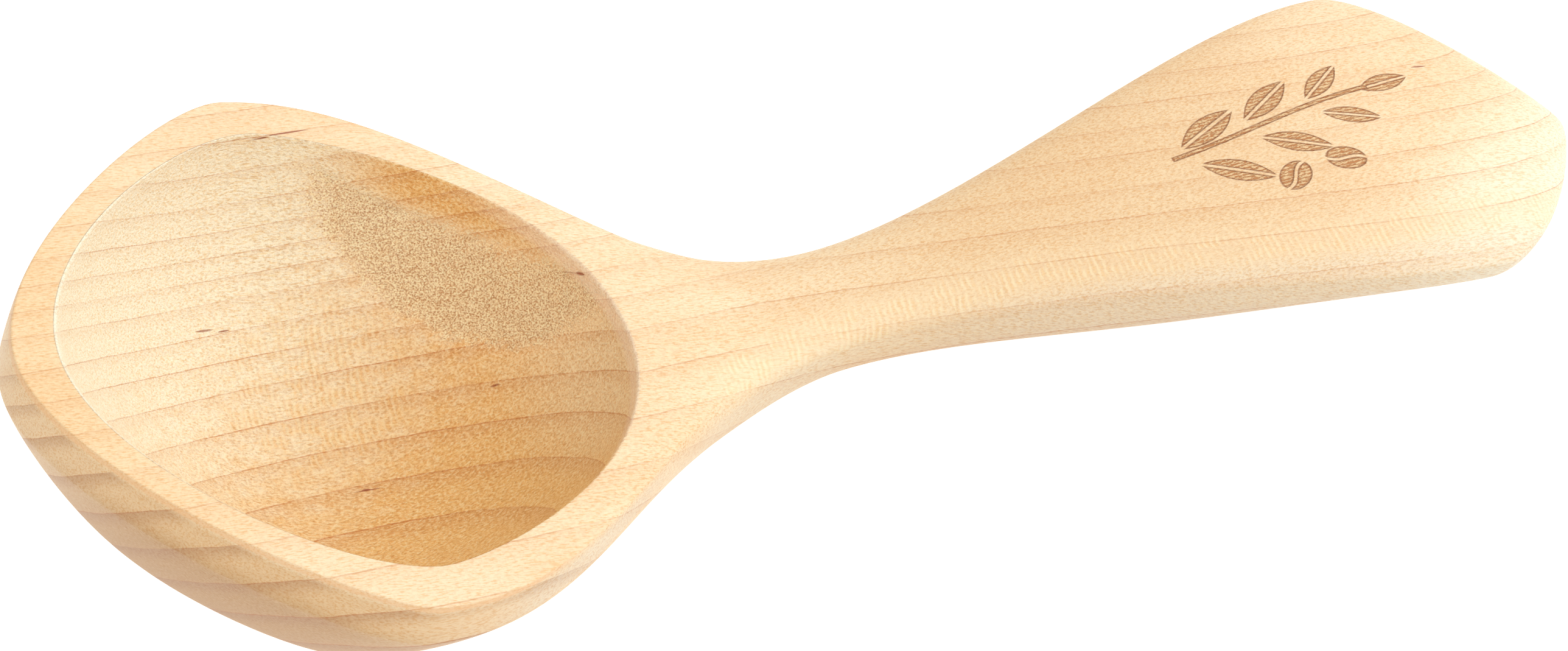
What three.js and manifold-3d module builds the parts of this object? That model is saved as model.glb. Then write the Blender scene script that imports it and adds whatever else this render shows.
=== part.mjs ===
// Coffee measuring scoop, carved from one piece of hard maple.
// Lengths are millimetres. The drawing frame has x from the bowl's front to the handle's end, y across, and
// z up from the plane of the bowl's rim. At the end the scoop is tilted back until it lies on its foot and
// on its handle's end, with +Z up, the bowl at -X and the handle at +X.

import * as THREE from 'three';
import { mergeVertices } from 'three/addons/utils/BufferGeometryUtils.js';
import Module from 'manifold-3d';

// Outline seen from above: lengths along the scoop, half widths, and how far the curves run on before
// they turn
const bowlFrontLength = 26.3;
const bowlHalfWidth = 28.7;
const bowlRearLength = 49.4;
const neckHalfWidth = 5.6;
const flareLength = 55.7;
const handleHalfWidth = 18.0;
const handleTipLength = 20.6;
const frontRound = 11.8;
const frontSideRound = 5.6;
const rearSideRound = 18.4;
const neckRunIn = 19.9;
const neckRunOut = 15.5;
const shoulderRunIn = 14.2;
const shoulderRound = 6.0;
const endRound = 2.5;

// Rim and the mouth of the hollow
const rimWidthFront = 4.2;
const rimWidthSide = 4.4;
const mouthSideShift = 1.4;
const mouthToNeck = 22.0;
const mouthFrontRound = 11.9;
const mouthFrontSideRound = 7.5;
const mouthRearSideRound = 4.3;
const mouthRearRound = 16.4;
const outerEdgeHeight = 4.2;
const outerEdgeInset = 0.3;
const innerEdgeRound = 1.0;
const innerEdgeRoundRear = 2.4;

// The hollow: its depth, how round its bottom is, and the powers that make its side and rear walls steeper
const hollowDepth = 18.4;
const hollowDeepestShift = 4.0;
const hollowRound = 2.0;
const wallPowerFront = 0.84;
const wallPowerSide = 0.62;
const wallPowerRear = 0.56;

// Side view of the handle's top: where it leaves the rim plane, and how it rises and levels out
const riseStartToNeck = 11.9;
const riseRunOut = 14.9;
const endHeight = 20.1;
const endRunIn = 29.8;
const endSlopeDegrees = -9.4;

// Crown of the top: how far the widest line lies below the middle line
const crownNeck = 2.2;
const crownShoulder = 1.6;
const crownEnd = 3.7;

// Where the section turns from the bowl's into the handle's, as shares of the way from the widest place to
// the neck
const turnStartShare = 0.08;
const turnEndShare = 0.96;

// Underside: depth of the keel below the widest line, and how full the sides are
const floorThickness = 4.2;
const keelDepthBowl = 33.1;
const keelDepthRear = 20.0;
const keelDepthNeck = 6.8;
const keelDepthHandle = 9.4;
const keelDepthShoulder = 6.5;
const floorSoftness = 4.6;
const bowlSideFullness = 1.18;
const bowlKeelFullness = 1.1;
const handleUnderFullness = 2.33;
const handleTopFullness = 2.5;

// Depth of the flats sanded where the scoop lies on a table, and the table's size in lengths of the scoop
const flatCut = 0.5;
const tableShare = 4;

// Fineness of the mesh, and the nearness at which two of its points are made one
const frontSteps = 12;
const sideSteps = 20;
const flareSteps = 14;
const tipSteps = 12;
const mouthShare = 0.7;
const underRows = 11;
const edgeRows = 3;
const bandRows = 4;
const roundRows = 4;
const hollowRows = 12;
const weldDistance = 1e-4;
const smallestArea = 1e-7;

// Halvings in a search for a place or an angle, and the widest tilt that is tried
const halvings = 50;
const widestTiltDegrees = 60;

const bowlSideX = bowlFrontLength;
const neckX = bowlSideX + bowlRearLength;
const shoulderX = neckX + flareLength;
const endX = shoulderX + handleTipLength;
const mouthSideX = bowlSideX + mouthSideShift;
const mouthRearX = neckX - mouthToNeck;
const mouthHalfWidth = bowlHalfWidth - rimWidthSide;
const hollowX = bowlSideX + hollowDeepestShift;

const turnStartX = mix(bowlSideX, neckX, turnStartShare);
const turnEndX = mix(bowlSideX, neckX, turnEndShare);
const bowlRearMiddleX = (bowlSideX + neckX) / 2;
const handleMiddleX = (neckX + shoulderX) / 2;

function mix(a, b, t) {
  return (1 - t) * a + t * b;
}

function smoothStep(x, a, b) {
  const t = THREE.MathUtils.clamp((x - a) / (b - a), 0, 1);
  return t * t * (3 - 2 * t);
}

function bezier(...points) {
  return new THREE.CubicBezierCurve(...points.map(([x, y]) => new THREE.Vector2(x, y)));
}

// A curve through knots that has no bumps between them
function throughKnots(xs, ys) {
  const last = xs.length - 1;
  const steps = xs.slice(1).map((x, i) => (ys[i + 1] - ys[i]) / (x - xs[i]));
  const slopes = xs.map((x, i) => {
    if (i === 0 || i === last) return 0;
    const before = steps[i - 1];
    const after = steps[i];
    return before * after > 0 ? (2 * before * after) / (before + after) : 0;
  });
  return (x) => {
    const held = THREE.MathUtils.clamp(x, xs[0], xs[last]);
    let i = 0;
    while (i < last - 1 && held > xs[i + 1]) i += 1;
    const width = xs[i + 1] - xs[i];
    const t = (held - xs[i]) / width;
    const rise = t * t * (3 - 2 * t);
    const leave = t * (1 - t) * (1 - t) * width * slopes[i];
    const arrive = t * t * (t - 1) * width * slopes[i + 1];
    return mix(ys[i], ys[i + 1], rise) + leave + arrive;
  };
}

// Half of the outline, from the front tip round one side to the handle's end
const outlineCurves = [
  bezier([0, 0], [0, frontRound], [bowlSideX - frontSideRound, bowlHalfWidth], [bowlSideX, bowlHalfWidth]),
  bezier([bowlSideX, bowlHalfWidth], [bowlSideX + rearSideRound, bowlHalfWidth],
    [neckX - neckRunIn, neckHalfWidth], [neckX, neckHalfWidth]),
  bezier([neckX, neckHalfWidth], [neckX + neckRunOut, neckHalfWidth],
    [shoulderX - shoulderRunIn, handleHalfWidth], [shoulderX, handleHalfWidth]),
  bezier([shoulderX, handleHalfWidth], [shoulderX + shoulderRound, handleHalfWidth],
    [endX, endRound], [endX, 0]),
];

// Half of the hollow's mouth, from its front round the same side to its rear
const mouthCurves = [
  bezier([rimWidthFront, 0], [rimWidthFront, mouthFrontRound],
    [mouthSideX - mouthFrontSideRound, mouthHalfWidth], [mouthSideX, mouthHalfWidth]),
  bezier([mouthSideX, mouthHalfWidth], [mouthSideX + mouthRearSideRound, mouthHalfWidth],
    [mouthRearX, mouthRearRound], [mouthRearX, 0]),
];

// Side view: height of the top's middle line over the rim plane
const riseX = neckX - riseStartToNeck;
const endSlope = THREE.MathUtils.degToRad(endSlopeDegrees);
const riseCurve = bezier([riseX, 0], [riseX + riseRunOut, 0],
  [endX - endRunIn * Math.cos(endSlope), endHeight - endRunIn * Math.sin(endSlope)], [endX, endHeight]);

function topHeight(x) {
  if (x <= riseX) return 0;
  let low = 0;
  let high = 1;
  for (let i = 0; i < halvings; i += 1) {
    const middle = (low + high) / 2;
    if (riseCurve.getPoint(middle).x < x) low = middle;
    else high = middle;
  }
  return riseCurve.getPoint((low + high) / 2).y;
}

const crownDrop = throughKnots([turnEndX, shoulderX, endX], [crownNeck, crownShoulder, crownEnd]);

const keelDepth = throughKnots(
  [bowlSideX, bowlRearMiddleX, neckX, handleMiddleX, shoulderX],
  [keelDepthBowl, keelDepthRear, keelDepthNeck, keelDepthHandle, keelDepthShoulder],
);

// How far the section has turned from the bowl's to the handle's: 0 in the bowl, 1 in the handle
function turned(x) {
  return smoothStep(x, turnStartX, turnEndX);
}

// How far the widest line lies below the top's middle line
function edgeDrop(x) {
  return mix(outerEdgeHeight, crownDrop(x), turned(x));
}

// A V-shaped keel under the bowl is rounded off at the floor
const floorLevel = hollowDepth + floorThickness;

function underHeight(edgeHeight, depth) {
  const softened = (z) => (z + floorLevel + Math.hypot(z + floorLevel, floorSoftness)) / 2;
  return edgeHeight + softened(edgeHeight - depth) - softened(edgeHeight);
}

// The line across the underside from the outline to the keel; t runs from 0 at the keel to 1 at the outline
function underPoint(edge, t) {
  const keelX = THREE.MathUtils.clamp(edge.x, bowlSideX, shoulderX);
  const angle = (1 - t) * Math.PI / 2;
  const sine = Math.sin(angle);
  const cosine = Math.sqrt(1 - sine * sine);
  const share = turned(keelX);
  const inward = mix(1 - cosine ** (2 / bowlSideFullness), 1 - cosine ** (2 / handleUnderFullness), share);
  const deep = mix(sine ** (2 / bowlKeelFullness), sine ** (2 / handleUnderFullness), share);
  const x = mix(edge.x, keelX, inward);
  const y = edge.y * (1 - inward);
  const z = underHeight(-edgeDrop(x), keelDepth(keelX) * deep);
  return new THREE.Vector3(x, y, z + topHeight(x));
}

// The line across the top from the outline to the mouth's edge or the middle; t runs from 0 at the outline
// to 1. The bowl has a crisp edge and then a flat band, and the handle a crown.
function topPoint(edge, inner, t) {
  const length = Math.hypot(inner.x - edge.x, inner.y - edge.y);
  const share = turned(edge.x);
  const edgePart = edgeRows / (edgeRows + bandRows);
  const round = Math.min(t / edgePart, 1) * Math.PI / 2;
  const flat = Math.max((t - edgePart) / (1 - edgePart), 0);
  const inset = outerEdgeInset * (1 - Math.cos(round));
  const bandWay = length > 0 ? mix(inset / length, 1, flat) : 0;
  const angle = t * Math.PI / 2;
  const sine = Math.sin(angle);
  const cosine = Math.sqrt(1 - sine * sine);
  const crownWay = 1 - cosine ** (2 / handleTopFullness);
  const way = mix(bandWay, crownWay, share);
  const up = mix(Math.sin(round), sine ** (2 / handleTopFullness), share);
  const x = mix(edge.x, inner.x, way);
  const y = mix(edge.y, inner.y, way);
  return new THREE.Vector3(x, y, topHeight(x) - edgeDrop(x) * (1 - up));
}

// The hollow is a cone with a round bottom, drawn out to the mouth's outline. Its height over the deepest
// place follows the reach, which is 0 there and 1 at the mouth, and reachAt is the reverse.
const coneRise = Math.hypot(1, hollowRound) - hollowRound;

function wallHeight(reach, power) {
  const left = 1 - (Math.hypot(reach, hollowRound) - hollowRound) / coneRise;
  return -hollowDepth * Math.sign(left) * Math.abs(left) ** power;
}

function reachAt(height, power) {
  const left = -Math.sign(height) * Math.abs(height / hollowDepth) ** (1 / power);
  const side = (1 - left) * coneRise + hollowRound;
  return Math.sqrt(side * side - hollowRound * hollowRound);
}

// A place on the hollow's wall, with the edge between rim and wall rounded
function hollowPoint({ mouth, power, edgeRound }, reach) {
  const x = mix(hollowX, mouth.x, reach);
  const wall = wallHeight(reach, power);
  const rounding = Math.max(edgeRound - Math.abs(wall), 0) ** 2 / (4 * edgeRound);
  return new THREE.Vector3(x, mouth.y * reach, topHeight(x) + Math.min(wall, 0) - rounding);
}

// Places along half of the outline, each with the place where its line over the top ends: on the rim beside
// the mouth, or on the middle line behind it
function sampleOutline() {
  const columns = [];
  const steps = [frontSteps, sideSteps, flareSteps, tipSteps];
  const mouthSteps = Math.round(sideSteps * mouthShare);
  const bandEndX = mix(hollowX, mouthRearX, reachAt(innerEdgeRoundRear, wallPowerRear));
  const lastMouthX = outlineCurves[1].getPoint(mouthSteps / sideSteps).x;
  const joinX = neckX + neckRunOut;
  const powers = [wallPowerFront, wallPowerSide, wallPowerRear];
  const edgeRounds = [innerEdgeRound, innerEdgeRound, innerEdgeRoundRear];
  outlineCurves.forEach((curve, part) => {
    for (let i = part === 0 ? 0 : 1; i <= steps[part]; i += 1) {
      const edge = curve.getPoint(i / steps[part]);
      if (part === 0 || (part === 1 && i <= mouthSteps)) {
        const along = i / (part === 0 ? frontSteps : mouthSteps);
        const share = smoothStep(along, 0, 1);
        const mouth = mouthCurves[part].getPoint(along);
        const power = mix(powers[part], powers[part + 1], share);
        const edgeRound = mix(edgeRounds[part], edgeRounds[part + 1], share);
        const reach = reachAt(edgeRound, power);
        const inner = new THREE.Vector2(mix(hollowX, mouth.x, reach), mouth.y * reach);
        columns.push({ edge, inner, mouth, power, edgeRound });
      } else {
        const slanted = mix(bandEndX, joinX, (edge.x - lastMouthX) / (joinX - lastMouthX));
        const middleX = edge.x < joinX ? slanted : Math.min(edge.x, shoulderX);
        columns.push({ edge, inner: new THREE.Vector2(middleX, 0) });
      }
    }
  });
  return columns;
}

// Triangles between neighbouring lines of points; ones with no area are left out
function addStrip(triangles, lines) {
  const add = (a, b, c) => {
    const area = new THREE.Triangle(a, b, c).getArea();
    if (area > smallestArea) triangles.push(a, b, c);
  };
  for (let i = 0; i < lines.length - 1; i += 1) {
    for (let j = 0; j < lines[i].length - 1; j += 1) {
      add(lines[i][j], lines[i + 1][j + 1], lines[i + 1][j]);
      add(lines[i][j], lines[i][j + 1], lines[i + 1][j + 1]);
    }
  }
}

// Even steps from 0 to 1
function evenly(rows) {
  return Array.from({ length: rows + 1 }, (_, i) => i / rows);
}

// One closed skin: underside, rim and handle top, and hollow, for one half and then its mirror image
function scoopSkin() {
  const columns = sampleOutline();
  const half = [];
  const underSteps = evenly(underRows);
  const topSteps = evenly(edgeRows + bandRows);
  addStrip(half, columns.map(({ edge }) => underSteps.map((t) => underPoint(edge, t))));
  addStrip(half, columns.map(({ edge, inner }) => topSteps.map((t) => topPoint(edge, inner, t))));
  addStrip(half, columns.filter((column) => column.mouth).map((column) => {
    const { edge, inner, power, edgeRound } = column;
    const round = evenly(roundRows).slice(1).map((t) => reachAt(mix(edgeRound, -edgeRound, t), power));
    const wallStart = round[round.length - 1];
    const wall = evenly(hollowRows).slice(1).map((t) => wallStart * (1 - t));
    return [topPoint(edge, inner, 1), ...[...round, ...wall].map((reach) => hollowPoint(column, reach))];
  }));
  const mirrored = [];
  for (let i = 0; i < half.length; i += 3) {
    const flipped = [half[i], half[i + 2], half[i + 1]];
    mirrored.push(...flipped.map((point) => new THREE.Vector3(point.x, -point.y, point.z)));
  }
  const skin = new THREE.BufferGeometry().setFromPoints([...half, ...mirrored]);
  return mergeVertices(skin, weldDistance);
}

// The tilt at which the bowl's underside and the handle's end are equally low
function restTilt(position) {
  const lowest = (tilt, wanted) => {
    let low = Infinity;
    for (let i = 0; i < position.count; i += 1) {
      const x = position.getX(i);
      const height = position.getZ(i) * Math.cos(tilt) - x * Math.sin(tilt);
      if (wanted(x)) low = Math.min(low, height);
    }
    return low;
  };
  let small = 0;
  let large = THREE.MathUtils.degToRad(widestTiltDegrees);
  for (let i = 0; i < halvings; i += 1) {
    const tilt = (small + large) / 2;
    const bowlLow = lowest(tilt, (x) => x < neckX);
    const handleLow = lowest(tilt, (x) => x >= neckX);
    if (handleLow > bowlLow) small = tilt;
    else large = tilt;
  }
  const tilt = (small + large) / 2;
  return { tilt, level: lowest(tilt, () => true) };
}

const manifoldModule = await Module();
manifoldModule.setup();

function toSolid(geometry) {
  return new manifoldModule.Manifold(new manifoldModule.Mesh({
    numProp: 3,
    vertProperties: new Float32Array(geometry.attributes.position.array),
    triVerts: new Uint32Array(geometry.index.array),
  }));
}

function toGeometry(solid) {
  const mesh = solid.getMesh();
  const geometry = new THREE.BufferGeometry();
  geometry.setAttribute('position', new THREE.BufferAttribute(new Float32Array(mesh.vertProperties), 3));
  geometry.setIndex(new THREE.BufferAttribute(new Uint32Array(mesh.triVerts), 1));
  geometry.computeVertexNormals();
  return geometry;
}

// Everything below the table level is sanded off, which leaves a foot under the bowl and a flat at the
// handle's end
function sandedFlat(skin, tilt, level) {
  const size = tableShare * endX;
  const table = new THREE.BoxGeometry(size, size, size);
  table.deleteAttribute('normal');
  table.deleteAttribute('uv');
  table.translate(0, 0, level + flatCut - size / 2);
  table.rotateY(-tilt);
  return toGeometry(toSolid(skin).subtract(toSolid(mergeVertices(table))));
}

// A flat of the wanted depth needs the tilt found above; the finished scoop then stands level on both flats
const skin = scoopSkin();
const { tilt, level } = restTilt(skin.attributes.position);
const scoopGeometry = sandedFlat(skin, tilt, level);

const maple = new THREE.MeshStandardMaterial({
  name: 'maple', color: 0xe3bc85, roughness: 0.5, metalness: 0,
});
const scoopBody = new THREE.Mesh(scoopGeometry, maple);
scoopBody.name = 'scoop_body';
scoopBody.rotation.y = tilt;
scoopBody.updateMatrixWorld(true);
const box = new THREE.Box3().setFromObject(scoopBody, true);
scoopBody.position.set(-(box.min.x + box.max.x) / 2, 0, -box.min.z);

const scoop = new THREE.Group();
scoop.name = 'coffee_scoop';
scoop.add(scoopBody);

export default scoop;
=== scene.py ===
import math

import bpy
import numpy as np
from mathutils import Matrix, Vector


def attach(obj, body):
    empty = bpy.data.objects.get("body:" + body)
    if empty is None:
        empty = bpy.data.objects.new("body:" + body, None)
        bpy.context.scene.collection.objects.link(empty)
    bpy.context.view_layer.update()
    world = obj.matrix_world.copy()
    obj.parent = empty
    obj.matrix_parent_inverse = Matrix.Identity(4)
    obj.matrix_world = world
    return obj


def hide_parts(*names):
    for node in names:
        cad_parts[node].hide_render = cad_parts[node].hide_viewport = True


# A carved maple coffee scoop on a white table. The skin is drawn in millimetres in the drawing frame:
# x from the bowl's front to the handle's end, y across, z up from the plane of the rim. It is then tilted
# back until it lies on its foot and on its handle's end.

MM = 0.001

# Outline seen from above
BOWL_FRONT_LENGTH = 26.3
BOWL_HALF_WIDTH = 28.7
BOWL_REAR_LENGTH = 49.4
NECK_HALF_WIDTH = 5.6
FLARE_LENGTH = 55.7
HANDLE_HALF_WIDTH = 18.0
HANDLE_TIP_LENGTH = 20.6
FRONT_ROUND = 11.8
FRONT_SIDE_ROUND = 5.6
REAR_SIDE_ROUND = 18.4
NECK_RUN_IN = 19.9
NECK_RUN_OUT = 15.5
SHOULDER_RUN_IN = 14.2
SHOULDER_ROUND = 6.0
END_ROUND = 2.5

# Rim and the mouth of the hollow
RIM_WIDTH_FRONT = 4.2
RIM_WIDTH_SIDE = 4.4
MOUTH_SIDE_SHIFT = 1.4
MOUTH_TO_NECK = 22.0
MOUTH_FRONT_ROUND = 11.9
MOUTH_FRONT_SIDE_ROUND = 7.5
MOUTH_REAR_SIDE_ROUND = 4.3
MOUTH_REAR_ROUND = 16.4
OUTER_EDGE_HEIGHT = 4.2
OUTER_EDGE_INSET = 0.3
INNER_EDGE_ROUND = 1.0
INNER_EDGE_ROUND_REAR = 2.4

# The hollow
HOLLOW_DEPTH = 18.4
HOLLOW_DEEPEST_SHIFT = 4.0
HOLLOW_ROUND = 2.0
WALL_POWER_FRONT = 0.84
WALL_POWER_SIDE = 0.62
WALL_POWER_REAR = 0.56

# Side view of the handle's top
RISE_START_TO_NECK = 11.9
RISE_RUN_OUT = 14.9
END_HEIGHT = 20.1
END_RUN_IN = 29.8
END_SLOPE = math.radians(-9.4)
CROWN_NECK = 2.2
CROWN_SHOULDER = 1.6
CROWN_END = 3.7

# Underside
TURN_START_SHARE = 0.08
TURN_END_SHARE = 0.96
FLOOR_THICKNESS = 4.2
KEEL_DEPTH_BOWL = 33.1
KEEL_DEPTH_REAR = 20.0
KEEL_DEPTH_NECK = 6.8
KEEL_DEPTH_HANDLE = 9.4
KEEL_DEPTH_SHOULDER = 6.5
FLOOR_SOFTNESS = 4.6
BOWL_SIDE_FULLNESS = 1.18
BOWL_KEEL_FULLNESS = 1.1
HANDLE_UNDER_FULLNESS = 2.33
HANDLE_TOP_FULLNESS = 2.5
FLAT_CUT = 0.5

# Fineness of the skin
FRONT_STEPS = 60
SIDE_STEPS = 100
FLARE_STEPS = 80
TIP_STEPS = 60
MOUTH_SHARE = 0.7
UNDER_ROWS = 40
EDGE_ROWS = 12
BAND_ROWS = 20
ROUND_ROWS = 10
HOLLOW_ROWS = 48
RISE_SAMPLES = 20001
WELD_DISTANCE = 1e-4
TILT_HALVINGS = 50
LARGEST_TILT = math.radians(60)
TINY = 1e-9

# Kinds of surface
UNDERSIDE, TOP, HOLLOW = range(3)

BOWL_SIDE_X = BOWL_FRONT_LENGTH
NECK_X = BOWL_SIDE_X + BOWL_REAR_LENGTH
SHOULDER_X = NECK_X + FLARE_LENGTH
END_X = SHOULDER_X + HANDLE_TIP_LENGTH
MOUTH_SIDE_X = BOWL_SIDE_X + MOUTH_SIDE_SHIFT
MOUTH_REAR_X = NECK_X - MOUTH_TO_NECK
MOUTH_HALF_WIDTH = BOWL_HALF_WIDTH - RIM_WIDTH_SIDE
HOLLOW_X = BOWL_SIDE_X + HOLLOW_DEEPEST_SHIFT

# The camera: the point it looks at and its distance in mm, its direction and width of view in degrees
CAMERA_TARGET = (-7.56, 0.0, 10.17)
CAMERA_AZIMUTH = -25.99
CAMERA_ELEVATION = 50.86
CAMERA_ROLL = 3.09
CAMERA_DISTANCE = 306.2
CAMERA_VIEW_ANGLE = 25.61
CAMERA_CLIP = 0.01

# The studio, in metres
TABLE_SIDE = 6.0
TABLE_GREY = 0.82
TABLE_GLOW = 0.75
SKY_LIGHT = 0.51
LAMP_DISTANCE = 1.0

# Soft lamps: azimuth and elevation in degrees, power in watts, side in metres
SOFTBOXES = [
    ("right_softbox", 72, 38, 5.1, 1.2),
    ("back_softbox", 128, 30, 2.4, 0.6),
    ("front_softbox", 0, 48, 2.2, 1.0),
    ("left_fill", -80, 40, 2.0, 1.0),
]


def mix(a, b, t):
    return (1 - t) * a + t * b


def smooth_step(x, a, b):
    t = np.clip((x - a) / (b - a), 0, 1)
    return t * t * (3 - 2 * t)


def bezier(points, t):
    """Points of a cubic curve, one row for each t."""
    p0, p1, p2, p3 = (np.array(p, float) for p in points)
    t = np.asarray(t, float)[:, None]
    u = 1 - t
    return u**3 * p0 + 3 * u * u * t * p1 + 3 * u * t * t * p2 + t**3 * p3


def through_knots(xs, ys):
    """A curve through knots that has no bumps between them."""
    xs, ys = np.array(xs, float), np.array(ys, float)
    steps = np.diff(ys) / np.diff(xs)
    slopes = np.zeros(len(xs))
    for i in range(1, len(xs) - 1):
        before, after = steps[i - 1], steps[i]
        if before * after > 0:
            slopes[i] = 2 * before * after / (before + after)

    def curve(x):
        held = np.clip(x, xs[0], xs[-1])
        i = np.clip(np.searchsorted(xs, held) - 1, 0, len(xs) - 2)
        width = xs[i + 1] - xs[i]
        t = (held - xs[i]) / width
        rise = t * t * (3 - 2 * t)
        leave = t * (1 - t) * (1 - t) * width * slopes[i]
        arrive = t * t * (t - 1) * width * slopes[i + 1]
        return mix(ys[i], ys[i + 1], rise) + leave + arrive

    return curve


OUTLINE_CURVES = [
    [
        (0, 0),
        (0, FRONT_ROUND),
        (BOWL_SIDE_X - FRONT_SIDE_ROUND, BOWL_HALF_WIDTH),
        (BOWL_SIDE_X, BOWL_HALF_WIDTH),
    ],
    [
        (BOWL_SIDE_X, BOWL_HALF_WIDTH),
        (BOWL_SIDE_X + REAR_SIDE_ROUND, BOWL_HALF_WIDTH),
        (NECK_X - NECK_RUN_IN, NECK_HALF_WIDTH),
        (NECK_X, NECK_HALF_WIDTH),
    ],
    [
        (NECK_X, NECK_HALF_WIDTH),
        (NECK_X + NECK_RUN_OUT, NECK_HALF_WIDTH),
        (SHOULDER_X - SHOULDER_RUN_IN, HANDLE_HALF_WIDTH),
        (SHOULDER_X, HANDLE_HALF_WIDTH),
    ],
    [
        (SHOULDER_X, HANDLE_HALF_WIDTH),
        (SHOULDER_X + SHOULDER_ROUND, HANDLE_HALF_WIDTH),
        (END_X, END_ROUND),
        (END_X, 0),
    ],
]
MOUTH_CURVES = [
    [
        (RIM_WIDTH_FRONT, 0),
        (RIM_WIDTH_FRONT, MOUTH_FRONT_ROUND),
        (MOUTH_SIDE_X - MOUTH_FRONT_SIDE_ROUND, MOUTH_HALF_WIDTH),
        (MOUTH_SIDE_X, MOUTH_HALF_WIDTH),
    ],
    [
        (MOUTH_SIDE_X, MOUTH_HALF_WIDTH),
        (MOUTH_SIDE_X + MOUTH_REAR_SIDE_ROUND, MOUTH_HALF_WIDTH),
        (MOUTH_REAR_X, MOUTH_REAR_ROUND),
        (MOUTH_REAR_X, 0),
    ],
]

RISE_X = NECK_X - RISE_START_TO_NECK
RISE_LINE = bezier(
    [
        (RISE_X, 0),
        (RISE_X + RISE_RUN_OUT, 0),
        (END_X - END_RUN_IN * math.cos(END_SLOPE), END_HEIGHT - END_RUN_IN * math.sin(END_SLOPE)),
        (END_X, END_HEIGHT),
    ],
    np.linspace(0, 1, RISE_SAMPLES),
)


def top_height(x):
    """Height of the top's middle line over the rim plane."""
    return np.interp(x, RISE_LINE[:, 0], RISE_LINE[:, 1])


TURN_START_X = mix(BOWL_SIDE_X, NECK_X, TURN_START_SHARE)
TURN_END_X = mix(BOWL_SIDE_X, NECK_X, TURN_END_SHARE)

crown_drop = through_knots([TURN_END_X, SHOULDER_X, END_X], [CROWN_NECK, CROWN_SHOULDER, CROWN_END])
keel_depth = through_knots(
    [BOWL_SIDE_X, (BOWL_SIDE_X + NECK_X) / 2, NECK_X, (NECK_X + SHOULDER_X) / 2, SHOULDER_X],
    [KEEL_DEPTH_BOWL, KEEL_DEPTH_REAR, KEEL_DEPTH_NECK, KEEL_DEPTH_HANDLE, KEEL_DEPTH_SHOULDER],
)


def turned(x):
    """How far the section has turned from the bowl's, 0, to the handle's, 1."""
    return smooth_step(x, TURN_START_X, TURN_END_X)


def edge_drop(x):
    """How far the widest line lies below the top's middle line."""
    return mix(OUTER_EDGE_HEIGHT, crown_drop(x), turned(x))


def softened(z):
    """A height that is held up softly at the floor's level."""
    level = HOLLOW_DEPTH + FLOOR_THICKNESS
    return (z + level + np.hypot(z + level, FLOOR_SOFTNESS)) / 2


def rounded(t, fullness):
    """Along and up an arc of that fullness: (0, 0) at t = 0 and (1, 1) at t = 1."""
    angle = t * math.pi / 2
    sine = np.sin(angle)
    cosine = np.sqrt(np.maximum(1 - sine * sine, 0))
    return 1 - cosine ** (2 / fullness), sine ** (2 / fullness)


def under_lines(edge, t):
    """Lines across the underside; t runs from 0 at the keel to 1 at the outline."""
    keel_x = np.clip(edge[:, :1], BOWL_SIDE_X, SHOULDER_X)
    share = turned(keel_x)
    bowl_in, _ = rounded(1 - t[None], BOWL_SIDE_FULLNESS)
    _, bowl_deep = rounded(1 - t[None], BOWL_KEEL_FULLNESS)
    handle_in, handle_deep = rounded(1 - t[None], HANDLE_UNDER_FULLNESS)
    inward = mix(bowl_in, handle_in, share)
    deep = mix(bowl_deep, handle_deep, share)
    x = mix(edge[:, :1], keel_x, inward)
    y = edge[:, 1:] * (1 - inward)
    edge_height = -edge_drop(x)
    z = edge_height + softened(edge_height - keel_depth(keel_x) * deep) - softened(edge_height)
    return np.stack([x, y, z + top_height(x)], -1)


def top_lines(edge, inner, t):
    """Lines across the top; t runs from 0 at the outline to 1 at the mouth's edge or the middle line."""
    length = np.hypot(*(inner - edge).T)[:, None]
    share = turned(edge[:, :1])
    edge_part = EDGE_ROWS / (EDGE_ROWS + BAND_ROWS)
    turn = np.minimum(t / edge_part, 1)[None] * math.pi / 2
    flat = np.maximum((t - edge_part) / (1 - edge_part), 0)[None]
    inset = OUTER_EDGE_INSET * (1 - np.cos(turn))
    band_way = np.where(length > 0, mix(inset / np.maximum(length, TINY), 1, flat), 0)
    crown_way, crown_up = rounded(t[None], HANDLE_TOP_FULLNESS)
    way = mix(band_way, crown_way, share)
    up = mix(np.sin(turn), crown_up, share)
    x = mix(edge[:, :1], inner[:, :1], way)
    y = mix(edge[:, 1:], inner[:, 1:], way)
    return np.stack([x, y, top_height(x) - edge_drop(x) * (1 - up)], -1)


CONE_RISE = math.hypot(1, HOLLOW_ROUND) - HOLLOW_ROUND


def reach_at(height, power):
    """How far out from the deepest place, 0, to the mouth, 1, the hollow's wall has that height."""
    left = -np.sign(height) * np.abs(height / HOLLOW_DEPTH) ** (1 / power)
    side = (1 - left) * CONE_RISE + HOLLOW_ROUND
    return np.sqrt(side * side - HOLLOW_ROUND * HOLLOW_ROUND)


def hollow_lines(mouth, power, edge_round, reach):
    """Lines down the hollow's wall, with the edge between rim and wall rounded."""
    left = 1 - (np.hypot(reach, HOLLOW_ROUND) - HOLLOW_ROUND) / CONE_RISE
    wall = -HOLLOW_DEPTH * np.sign(left) * np.abs(left) ** power
    rounding = np.maximum(edge_round - np.abs(wall), 0) ** 2 / (4 * edge_round)
    x = mix(HOLLOW_X, mouth[:, :1], reach)
    return np.stack([x, mouth[:, 1:] * reach, top_height(x) + np.minimum(wall, 0) - rounding], -1)


def strip(lines):
    """Four-sided faces between neighbouring lines of points, as corner coordinates."""
    return np.stack([lines[:-1, :-1], lines[:-1, 1:], lines[1:, 1:], lines[1:, :-1]], 2).reshape(-1, 4, 3)


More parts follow.
